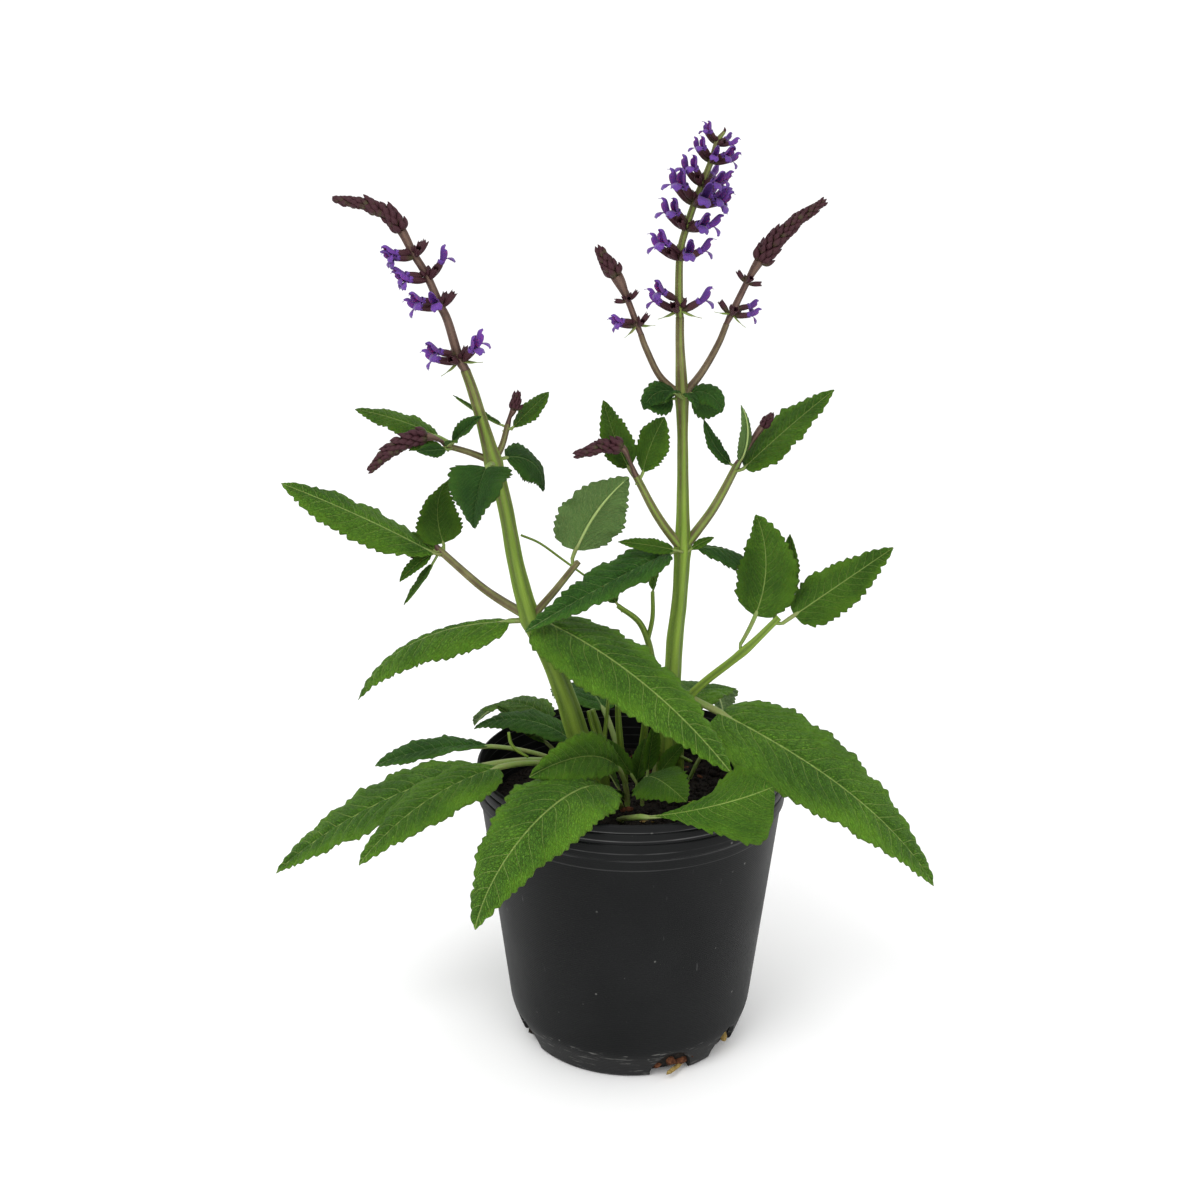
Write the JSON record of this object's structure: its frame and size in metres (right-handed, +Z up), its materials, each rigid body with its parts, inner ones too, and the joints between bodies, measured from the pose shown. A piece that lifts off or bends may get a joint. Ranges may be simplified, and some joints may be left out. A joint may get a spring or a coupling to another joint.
{
  "type": "potted perennial salvia",
  "caption": "Young perennial salvia in a round tapered nursery pot: branching square stems, opposite toothed leaves, large basal leaves over the rim and violet flower spikes.",
  "frame": {"origin": "centre of the pot's flat underside, where it stands", "axes": "+Z up along the pot's axis, -Y towards the viewer's side of the plant, +X to the viewer's right"},
  "size_m": [0.3476, 0.2549, 0.482],
  "materials": {
    "black_plastic": "satin",
    "potting_mix": "matte",
    "stem_green": "satin",
    "stem_brown": "satin",
    "leaf_mid": "matte",
    "leaf_dark": "matte",
    "leaf_young": "matte",
    "leaf_pale": "matte",
    "corolla_violet": "matte",
    "bud_maroon": "matte"
  },
  "bodies": {
    "root": {"bud_left_high_left": "bud_maroon", "bud_left_high_right": "bud_maroon", "bud_left_low_left": "bud_maroon", "bud_right_low_left": "bud_maroon", "bud_right_low_right": "bud_maroon", "centre_shoot": "stem_brown", "crown": "leaf_young", "left_high_back": "leaf_dark", "left_high_front": "leaf_dark", "left_high_left_long": "leaf_mid", "left_high_left_low": "leaf_dark", "left_high_left_right": "leaf_dark", "left_high_right_big": "leaf_mid", "left_high_right_thin": "leaf_mid", "left_low_back": "leaf_mid", "left_low_front": "leaf_mid", "left_low_left_long": "leaf_mid", "left_low_left_low": "leaf_young", "left_low_left_small": "leaf_mid", "left_low_right_big": "leaf_pale", "low_end_back": "leaf_mid", "low_end_right": "leaf_mid", "low_fork_leaf": "leaf_mid", "low_shoot": "stem_green", "pot": "black_plastic", "potting_mix": "potting_mix", "right_high_left": "leaf_dark", "right_high_right": "leaf_dark", "right_low_left": "leaf_dark", "right_low_left_left": "leaf_mid", "right_low_left_right": "leaf_mid", "right_low_right": "leaf_dark", "right_low_right_big": "leaf_mid", "right_low_right_small": "leaf_mid", "right_low_right_thin": "leaf_dark", "rosette_back": "leaf_dark", "rosette_back_left": "leaf_dark", "rosette_back_right": "leaf_mid", "rosette_back_thin": "leaf_mid", "rosette_front": "leaf_young", "rosette_front_left": "leaf_mid", "rosette_front_over": "leaf_mid", "rosette_front_right": "leaf_young", "rosette_left_back": "leaf_mid", "rosette_left_big": "leaf_mid", "rosette_left_high": "leaf_dark", "rosette_left_under": "leaf_mid", "rosette_right": "leaf_mid", "rosette_right_small": "leaf_mid", "spike_left": "corolla_violet", "spike_right": "corolla_violet", "spike_side_left": "corolla_violet", "spike_side_right": "corolla_violet", "stem_left": "stem_green", "stem_right": "stem_green", "thin_shoot_1": "stem_brown", "thin_shoot_2": "stem_green"}
  },
  "joints": []
}
